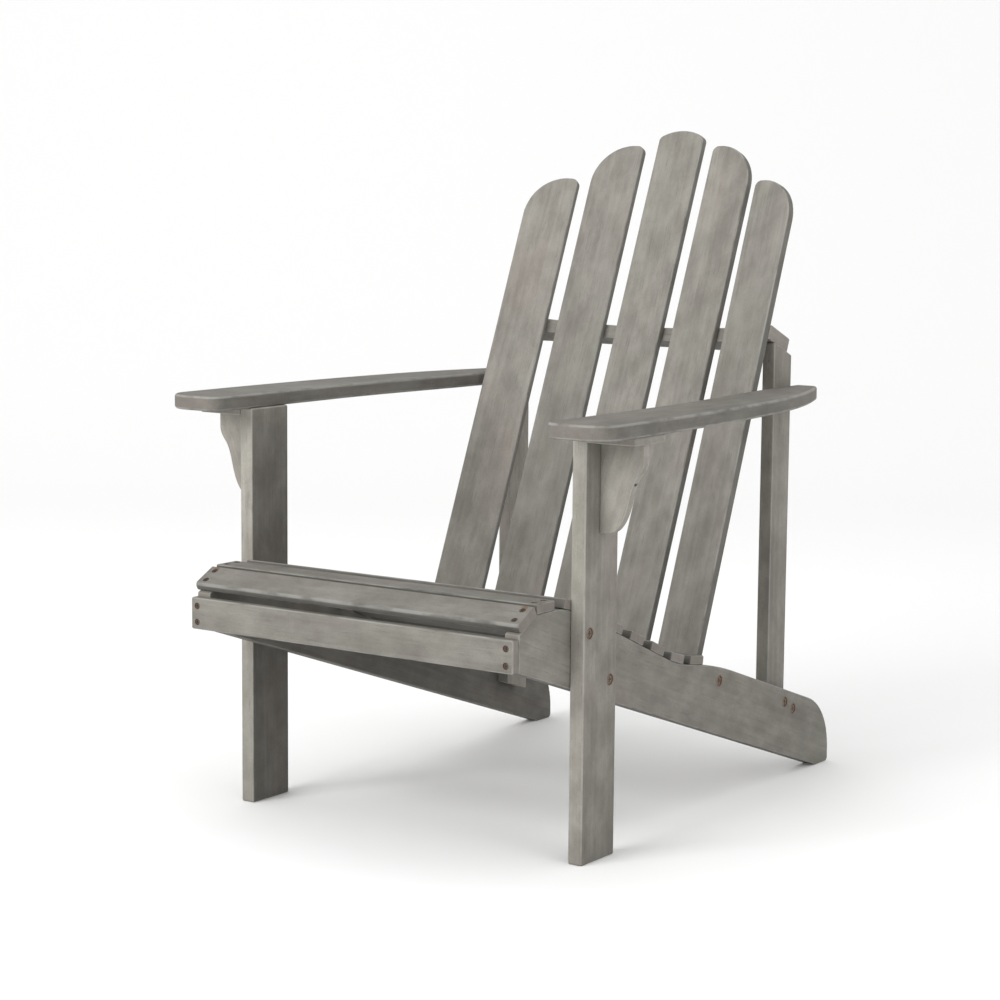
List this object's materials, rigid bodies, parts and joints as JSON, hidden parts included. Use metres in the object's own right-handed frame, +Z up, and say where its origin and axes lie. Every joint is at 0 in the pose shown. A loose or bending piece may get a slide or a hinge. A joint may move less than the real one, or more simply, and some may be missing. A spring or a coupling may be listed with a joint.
{
  "type": "adirondack chair",
  "caption": "Low wooden garden chair with a slatted seat, a fanned slatted back and wide flat arms on bracketed legs.",
  "frame": {"origin": "on the floor, under the middle of the chair's bounding box", "axes": "+Z up, -Y the way the sitter faces, +X towards the sitter's left hand"},
  "size_m": [0.708, 0.8314, 0.9299],
  "materials": {
    "weathered_wood": "matte grey-washed hardwood with eased edges",
    "screw_steel": "dull weathered steel"
  },
  "bodies": {
    "root": {"apron_screws": "screw_steel", "arm_bracket_left": "weathered_wood", "arm_bracket_right": "weathered_wood", "arm_left": "weathered_wood", "arm_plate_left": "weathered_wood", "arm_plate_right": "weathered_wood", "arm_plate_screws": "screw_steel", "arm_post_screws": "screw_steel", "arm_right": "weathered_wood", "back_slat_1": "weathered_wood", "back_slat_2": "weathered_wood", "back_slat_3": "weathered_wood", "back_slat_4": "weathered_wood", "back_slat_5": "weathered_wood", "bracket_screws": "screw_steel", "front_apron": "weathered_wood", "front_leg_left": "weathered_wood", "front_leg_right": "weathered_wood", "leg_screws": "screw_steel", "lower_back_rail": "weathered_wood", "lower_rail_screws": "screw_steel", "lower_rail_slat_screws": "screw_steel", "nose_slat_screws": "screw_steel", "rear_post_left": "weathered_wood", "rear_post_right": "weathered_wood", "rear_post_screws": "screw_steel", "seat_slat_1": "weathered_wood", "seat_slat_2": "weathered_wood", "seat_slat_3": "weathered_wood", "seat_slat_4": "weathered_wood", "seat_slat_5": "weathered_wood", "seat_slat_6": "weathered_wood", "seat_slat_7": "weathered_wood", "seat_slat_8": "weathered_wood", "seat_slat_9": "weathered_wood", "seat_slat_screws": "screw_steel", "stringer_left": "weathered_wood", "stringer_right": "weathered_wood", "upper_back_rail": "weathered_wood", "upper_rail_screws": "screw_steel", "upper_rail_slat_screws": "screw_steel"}
  },
  "joints": []
}
